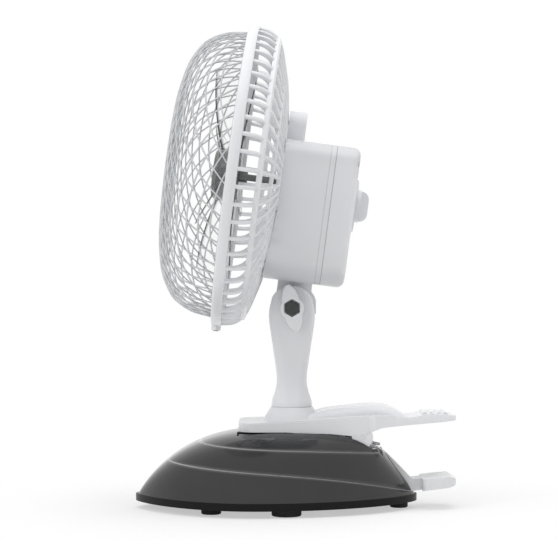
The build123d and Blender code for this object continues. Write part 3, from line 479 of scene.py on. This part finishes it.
# ---- Clip ----------------------------------------------------------------------------------------
# Two glossy white jaws turn on a steel pin and are sprung shut on the base's tongue. The upper
# one carries the collar that the stem turns on.

white_plastic = Finish("white_plastic", Specular_IOR_Level=0.5)
white_plastic.set(Base_Color=white_plastic.between(white_plastic.noise(20.0), (0.745, 0.75, 0.775),
                                                    (0.765, 0.77, 0.79)),
                  Roughness=0.2 + 0.05 * white_plastic.noise(60.0))
dark_steel = Finish("dark_steel", Metallic=0.7, Roughness=0.35)
dark_steel.set(Base_Color=dark_steel.between(dark_steel.noise(400.0), (0.035, 0.035, 0.035),
                                              (0.07, 0.07, 0.07)))

moulded("lower_jaw", white_plastic)
moulded("upper_jaw", white_plastic, 0.0003, 40)
wear("lower_jaw_pad", rubber)
wear("jaw_pin", steel)
wear("jaw_spring", steel)


# ---- Stem and tilt lock ---------------------------------------------------------------------------
# A waisted white column with two ears. The neck of the head is pinched between them by a black
# bolt, which the long white knob turns.

moulded("stem", white_plastic, 0.0006)
moulded("wing_knob", white_plastic, 0.0003)
moulded("tilt_bolt", dark_steel, 0.0002)
wear("tilt_nut", steel)
wear("swivel_screw", steel)
wear("swivel_washer", steel)


# ---- Motor housing ----------------------------------------------------------------------------------
# Two white mouldings meet at a seam around the motor. The rear one carries a raised round plate
# with the speed knob. Their flanks are shaded as if slightly domed, as they look in the photograph.

head_tilt = np.radians(7.5)
tilt_pivot = np.array([0.0, -2.2, 118.8])
seam_back, second_line, seam_depth = 0.0140, 0.0032, 0.0002
housing_middle, housing_half, doming = 0.0562, 0.0410, 0.013
cased = Finish("cased_white")
spot = cased.node("ShaderNodeTexCoord", out=3)
from_pivot = cased.node("ShaderNodeVectorMath", {"operation": "SUBTRACT"},
                        {0: spot, 1: tuple(tilt_pivot / 1000)})
back = cased.node("ShaderNodeVectorMath", {"operation": "DOT_PRODUCT"},
                  {0: from_pivot, 1: (0.0, np.cos(head_tilt), -np.sin(head_tilt))}, out=1)
rise = cased.node("ShaderNodeVectorMath", {"operation": "DOT_PRODUCT"},
                  {0: from_pivot, 1: (0.0, np.sin(head_tilt), np.cos(head_tilt))}, out=1)
domed = -doming * cased.flattened((rise - housing_middle) / housing_half) ** 4
# The seam's two lines are painted darker, a painted shade in the seam between the mouldings. The bump also
# sinks them slightly.
shaded_seam_lines = cased.line(back, seam_back, 0.00035) + 0.6 * cased.line(back, seam_back - second_line, 0.0003)
cased.set(Base_Color=cased.between(shaded_seam_lines, (0.755, 0.76, 0.785), (0.42, 0.42, 0.44)),
          Roughness=0.2 + 0.05 * cased.noise(60.0),
          Normal=cased.bump(domed - seam_depth * shaded_seam_lines, 1.0))
moulded("motor_housing", cased, 0.0006)
moulded("rear_cover", cased, 0.0006)
moulded("switch_knob", white_plastic, 0.0003)
wear("cover_screws", steel)


# ---- Motor and switch inside -------------------------------------------------------------------------
# Varnished steel stack with a copper winding on a nylon bobbin, zinc-plated brackets with bronze
# bushes, and a rotary switch. The housing hides them.

nylon = Finish("nylon", Roughness=0.5)
nylon.set(Base_Color=nylon.between(nylon.noise(60.0), (0.03, 0.03, 0.03), (0.05, 0.05, 0.05)))
varnish = Finish("varnish", Metallic=0.6, Roughness=0.45)
varnish.set(Base_Color=varnish.between(varnish.noise(90.0), (0.10, 0.10, 0.11), (0.16, 0.16, 0.17)))
copper = Finish("copper", Metallic=1.0, Roughness=0.3)
copper.set(Base_Color=copper.between(copper.noise(150.0), (0.62, 0.28, 0.12), (0.75, 0.38, 0.18)))
bronze = Finish("bronze", Metallic=1.0, Roughness=0.4)
bronze.set(Base_Color=bronze.between(bronze.noise(300.0), (0.45, 0.32, 0.14), (0.55, 0.40, 0.20)))
inner_finishes = {
    "stator_core": varnish, "rotor_core": varnish, "coil_bobbin": nylon, "coil_winding": copper,
    "front_bracket": steel, "rear_bracket": steel, "front_bearing": bronze, "rear_bearing": bronze,
    "motor_screws": steel, "switch_body": nylon, "switch_shaft": nylon,
}
for node, finish in inner_finishes.items():
    wear(node, finish)


# ---- Rear guard --------------------------------------------------------------------------------------
# One white moulding: a flat hoop with a ring inside it, bent ribs that turn in at the shoulder, two
# rings across the ribs and a centre plate that is screwed to the housing.

rim_lead, axis_rise = 47.5, 73.1


def on_head(points):
    """Turns points of the fan's own frame (x, back from the rim, up) about the tilt pivot."""
    p = np.asarray(points, float) + (0, -rim_lead, axis_rise)
    y = p[..., 1] * np.cos(head_tilt) + p[..., 2] * np.sin(head_tilt)
    z = -p[..., 1] * np.sin(head_tilt) + p[..., 2] * np.cos(head_tilt)
    return np.stack([p[..., 0], y, z], -1) + tilt_pivot


def turned(profile, steps=160):
    """Ring or disc: a closed (radius, y) profile carried once round the fan's axis."""
    profile = np.array(profile, float)
    angle = np.linspace(0, 2 * np.pi, steps, endpoint=False)
    radius, back = np.broadcast_to(profile.T[:, None, :], (2, steps, len(profile)))
    points = np.stack([radius * np.cos(angle)[:, None], back, radius * np.sin(angle)[:, None]], -1)
    return points, grid_faces(steps, len(profile), True, True)


def head_piece(name, shapes, angle, finish, stands_for):
    """Shows one piece of the head made of closed shapes: each its points, faces and any end caps."""
    points, faces, others, at = [], [], [], 0
    for shape_points, shape_faces, *ends in shapes:
        points.append(shape_points.reshape(-1, 3))
        faces.append(shape_faces + at)
        others += [tuple(i + at for i in cap) for caps in ends for cap in caps]
        at += len(points[-1])
    mesh = mesh_of(name, on_head(np.vstack(points)), np.vstack(faces), others)
    smooth(mesh, angle)
    show(bpy.data.objects.new(name, mesh), finish, "head", stands_for)


guard_radius, hoop_wall, hoop_front, hoop_back = 90.0, 3.2, 1.3, 7.4
shoulder_y = np.array([5.5, 9.5, 13.0, 16.5, 18.8, 20.9, 22.7, 25.0, 28.0, 29.8, 31.4])
shoulder_r = np.array([89.2, 89.0, 88.5, 86.9, 85.0, 82.2, 78.6, 70.5, 60.0, 50.0, 35.0])


def rib_line(steps):
    """Outer line of a rib, even steps along it, with its depth: thin at the hoop, deep at the bend."""
    _, y, r = rounded_line(shoulder_y, shoulder_r, 400, np.ones(41) / 41)
    pick = np.linspace(0, len(y) - 1, steps).astype(int)
    tangent = np.stack([np.gradient(y), np.gradient(r)], -1)[pick]
    tangent /= np.linalg.norm(tangent, axis=1)[:, None]
    depth = np.interp(np.linspace(0, 1, steps), [0, 0.12, 0.3, 0.45, 1], [1.8, 2.6, 4.0, 3.4, 2.6])
    return y[pick], r[pick], tangent, depth


def ribs(count, steps=26, width=2.2):
    """Ribs: an eight-sided rounded section carried along the rib line, at even angles."""
    y, r, tangent, depth = rib_line(steps)
    side = np.array([-0.32, 0.32, 0.5, 0.5, 0.36, -0.36, -0.5, -0.5]) * width
    inward = depth[:, None] * np.array([0, 0, 0.14, 0.8, 1, 1, 0.8, 0.14])
    back = y[:, None] + inward * tangent[:, 1, None]
    radius = r[:, None] - inward * tangent[:, 0, None]
    angle = (2 * np.pi * np.arange(count) / count)[:, None, None]
    x = radius * np.cos(angle) - side * np.sin(angle)
    z = radius * np.sin(angle) + side * np.cos(angle)
    points = np.stack([x, np.broadcast_to(back, x.shape), z], -1)
    return points, *tube_faces(count, steps, len(side))


inside = guard_radius - hoop_wall
hoop = turned([(inside, hoop_front + 0.3), (inside + 0.3, hoop_front), (guard_radius - 0.9, hoop_front),
               (guard_radius - 0.25, hoop_front + 0.25), (guard_radius, hoop_front + 0.9),
               (guard_radius, hoop_back - 0.7), (guard_radius - 0.5, hoop_back),
               (inside + 0.3, hoop_back), (inside, hoop_back - 0.3)], 240)
shoulder_ring = turned([(81.2, 18.6), (84.2, 18.0), (84.5, 20.3), (82.0, 21.3)], 200)
middle_ring = turned([(60.0, 25.3), (63.6, 25.0), (63.4, 26.6), (60.2, 27.4)], 160)
inner_ring = turned([(86.0, 3.2), (84.9, 3.5), (84.9, 4.8), (86.9, 5.1)], 200)
plate = turned([(9, 28.9), (36.5, 28.9), (37, 29.4), (37, 31.0), (36.5, 31.5), (9, 31.5)], 120)
head_piece("rear_guard_moulding", [hoop, inner_ring, shoulder_ring, middle_ring, plate, ribs(56)],
           50, white_plastic, "rear_guard")
wear("guard_screws", steel)
latch = turned([(0.01, -guard_radius - 2.6), (4.6, -guard_radius - 2.6), (5.2, -guard_radius - 2.0),
                (5.4, -guard_radius + 0.3), (0.01, -guard_radius + 0.3)], 48)
screw_head = turned([(0.01, -guard_radius - 3.0), (1.5, -guard_radius - 3.0), (1.8, -guard_radius - 2.7),
                     (1.8, -guard_radius - 0.5), (0.01, -guard_radius - 0.5)], 32)
for name, stands_for, finish, (form, form_faces), squash in (
        ("hoop_latch", "guard_latch", white_plastic, latch, 0.55),
        ("hoop_latch_screw", "latch_screw", dark_steel, screw_head, 1.0)):
    # turned stands along the fan's axis: back and up change places, so that it hangs under the hoop
    hanging = form[..., [0, 2, 1]] * (1, squash, 1) + (0, (hoop_front + hoop_back) / 2, 0)
    head_piece(name, [(hanging, form_faces)], 35, finish, stands_for)


# ---- Blade wheel and shaft -----------------------------------------------------------------------------
# Smoky clear plastic, moulded in one piece: a hub cup and four broad blades whose edges look dark.
# It is pushed on a steel shaft against a steel collar.

smoke = Finish("smoke", Roughness=0.12)
edge = smoke.painted("edge")
smoke.set(Base_Color=smoke.between(edge, (0.42, 0.43, 0.43), (0.03, 0.035, 0.03)),
          Alpha=(0.05 + 0.92 * edge) * (0.97 + 0.05 * smoke.noise(30.0)))

hub_radius, hub_steps = 15.6, 96
blade_foot, blade_tip, tip_inset = 14.8, 71.0, 0.25
blade_middle, blade_middle_z, blade_half, blade_half_z = -2.0, 41.0, 34.0, 31.0
foot_half, foot_until = 23.0, 37.0
section_at = [14.4, 36, 56, 74]
lead_at = [(6, -5.5), (18, -11), (24, -13.5), (25, -13)]
trail_at = [(-9, 5.4), (-22, 6.5), (-30, 8.5), (-34, 9)]


def through_sections(values, height):
    """Cubic in height through the values at the four blade sections."""
    return np.polyval(np.polyfit(section_at, values, 3), height)


def there_and_back(near, far):
    """Closed section of a near and a far side, whose two ends are the same points."""
    return np.hstack([near, far[:, -2:0:-1]])


def blade_wheel(blades=4, spans=44, chords=30, first_at=8.0, half_thick=0.8, edge_width=1.0):
    """Blades: a grid of height z over the axis and place t across the chord. A point lies on the
    line from leading to trailing edge, bowed back by 0.1 of the chord times 4 t (1 - t). From the
    front a blade is bounded by these edges, the tip's circle and an ellipse, which is no narrower
    than the foot's half width up to foot_until. The two faces meet at the edges."""
    z = blade_foot + (blade_tip - tip_inset - blade_foot) * np.sin(np.linspace(0, np.pi / 2, spans))
    lead_x, lead_y = (through_sections([p[i] for p in lead_at], z) for i in (0, 1))
    trail_x, trail_y = (through_sections([p[i] for p in trail_at], z) for i in (0, 1))
    bulge = blade_half * np.sqrt((1 - ((z - blade_middle_z) / blade_half_z) ** 2).clip(0))
    foot = np.where(z < foot_until, foot_half, 0.0)
    rim = np.sqrt((blade_tip ** 2 - z ** 2).clip(0))
    hi = np.minimum.reduce([lead_x, np.maximum(blade_middle + bulge, foot), rim])
    lo = np.maximum.reduce([trail_x, np.minimum(blade_middle - bulge, -foot), -rim])
    q = np.cos(np.linspace(0, np.pi, chords))
    x = ((hi + lo) / 2)[:, None] + ((hi - lo) / 2)[:, None] * q
    across_x, across_y = (trail_x - lead_x)[:, None], (trail_y - lead_y)[:, None]
    chord = np.hypot(across_x, across_y)
    t = (x - lead_x[:, None]) / across_x
    bow = 0.4 * chord * t * (1 - t)
    y = lead_y[:, None] + across_y * t - across_x / chord * bow
    thick = half_thick * (1 - q ** 8) ** 0.5
    inner_edge = np.minimum(hi[:, None] - x, x - lo[:, None])
    dark = np.exp(-(inner_edge / edge_width) ** 2) * np.interp(z, [50, 62, 70], [1, 0.5, 0.1])[:, None]
    loop_x, loop_y = there_and_back(x, x), there_and_back(y - thick, y + thick)
    turn = np.radians(first_at + 360 * np.arange(blades) / blades)[:, None, None]
    across = loop_x * np.cos(turn) + z[:, None] * np.sin(turn)
    up = z[:, None] * np.cos(turn) - loop_x * np.sin(turn)
    points = np.stack([across, np.broadcast_to(loop_y, across.shape), up], -1)
    faces, caps = tube_faces(blades, spans, loop_x.shape[1])
    return points, faces, caps, np.tile(there_and_back(dark, dark).ravel(), blades)


def raw_mesh(name, points, faces, caps, marks):
    """Mesh of the head, faced outward, with a number on each point, called edge."""
    mesh = bpy.data.meshes.new(name)
    mesh.from_pydata((on_head(points.reshape(-1, 3)) / 1000).tolist(), [], faces.tolist() + caps)
    mesh.attributes.new("edge", "FLOAT", "POINT").data.foreach_set("value", marks.astype(np.float32))
    work = bmesh.new()
    work.from_mesh(mesh)
    bmesh.ops.recalc_face_normals(work, faces=work.faces)
    work.to_mesh(mesh)
    work.free()
    return mesh


# the hub's profile as (radius, back, how dark)
hub = np.array([
    (0.01, -9.3, 0.9), (11.6, -9.3, 0.9), (13.2, -8.95, 0.9), (14.4, -8.1, 0.7), (15.3, -6.7, 0.55),
    (hub_radius, -5.3, 0.5), (hub_radius, 6.0, 0.5), (13.8, 6.0, 0.5), (13.8, -5.3, 0.5),
    (12.6, -7.1, 0.9), (4.4, -7.1, 0.9), (4.4, 5.0, 0.9), (2.0, 5.0, 0.9), (2.0, -6.0, 0.9),
    (0.01, -6.0, 0.9),
])
points, faces, caps, marks = blade_wheel()
blade_points = points.reshape(-1, 3)
hub_points, hub_faces = turned(hub[:, :2], hub_steps)
wheel = bpy.data.objects.new("blade_wheel", raw_mesh(
    "blade_wheel", np.vstack([blade_points, hub_points.reshape(-1, 3)]),
    np.vstack([faces, hub_faces + len(blade_points)]), caps,
    np.concatenate([marks, np.tile(hub[:, 2], hub_steps)])))
smooth(wheel.data, 50)
show(wheel, smoke, "rotor", "fan_blade")
shaft_steel = Finish("shaft_steel", Metallic=1.0, Roughness=0.25)
shaft_steel.set(Base_Color=shaft_steel.between(shaft_steel.noise(200.0), (0.10, 0.10, 0.10), (0.2, 0.2, 0.2)))
wear("motor_shaft", shaft_steel)
wear("shaft_collar", shaft_steel)


# ---- Front guard -----------------------------------------------------------------------------------------
# A sheet of diamond wire mesh pressed into a dome, bright plated, with its cut ends held by a
# round wire ring that sits inside the hoop.

wire = Finish("plated_wire", Metallic=0.65, Roughness=0.3)
wire.set(Base_Color=wire.between(wire.noise(120.0), (0.54, 0.555, 0.57), (0.68, 0.695, 0.71)))

dome_r = np.array([0, 18, 28, 47.5, 57.4, 62.3, 67.4, 72.6, 75.8, 80, 83.4, 84.9])
dome_h = np.array([36.6, 36.3, 35.8, 34.6, 32.6, 31.4, 29.2, 26.0, 24.0, 18.4, 10.5, -1.6])


dome_window = np.hanning(63) / np.hanning(63).sum()
dome_along, dome_radius, dome_height = rounded_line(dome_r, dome_h, 600, dome_window)


def pressed(u, v):
    """Point (u, v) of the flat sheet on the dome, and the dome's normal there: its distance from
    the centre becomes distance along the meridian, its direction stays."""
    flat = np.hypot(u, v).clip(1e-6)
    radius = np.interp(flat, dome_along, dome_radius)
    height = np.interp(flat, dome_along, dome_height)
    slope_r = np.interp(flat, dome_along, np.gradient(dome_radius, dome_along))
    slope_h = np.interp(flat, dome_along, np.gradient(dome_height, dome_along))
    normal = np.stack([-slope_h * u / flat, -slope_r, -slope_h * v / flat], -1)
    return np.stack([radius * u / flat, -height, radius * v / flat], -1), normal


# each family of wires as (direction of its normal in degrees, spacing, shift of the middle wire)
wire_families = [(-20, 7.15, 0.2), (36, 8.6, 1.0)]
edge_margin = 2.5


def mesh_wires(families, thick=0.48, steps=84, sides=6):
    """Tubes along straight lines of the flat sheet, none of them within edge_margin of its edge."""
    limit = dome_along[-1]
    round_wire = (2 * np.pi * np.arange(sides) / sides)[:, None]
    tubes = []
    for direction, spacing, shift in families:
        offsets = np.arange(-20, 21) * spacing + shift
        offsets = offsets[np.abs(offsets) < limit - edge_margin]
        half = np.sqrt(limit ** 2 - offsets ** 2)
        run = half[:, None] * np.linspace(-1, 1, steps)
        c, s = np.cos(np.radians(direction)), np.sin(np.radians(direction))
        centre, normal = pressed(offsets[:, None] * c - run * s, offsets[:, None] * s + run * c)
        tangent = np.gradient(centre, axis=1)
        tangent /= np.linalg.norm(tangent, axis=-1)[..., None]
        beside = np.cross(tangent, normal)
        beside /= np.linalg.norm(beside, axis=-1)[..., None]
        out, beside = np.cross(beside, tangent)[:, :, None], beside[:, :, None]
        tubes.append(centre[:, :, None] + thick * (np.cos(round_wire) * out + np.sin(round_wire) * beside))
    tube = np.concatenate(tubes)
    return tube, *tube_faces(len(tube), steps, sides)


head_piece("diamond_mesh", [mesh_wires(wire_families)], 70, wire, "front_guard_mesh")
round_wire = np.linspace(0, 2 * np.pi, 12, endpoint=False)
ring_wire = turned(np.stack([85.5 + 1.2 * np.cos(round_wire), 2.2 + 1.2 * np.sin(round_wire)], -1), 240)
head_piece("mesh_ring", [ring_wire], 70, wire, "front_guard_ring")
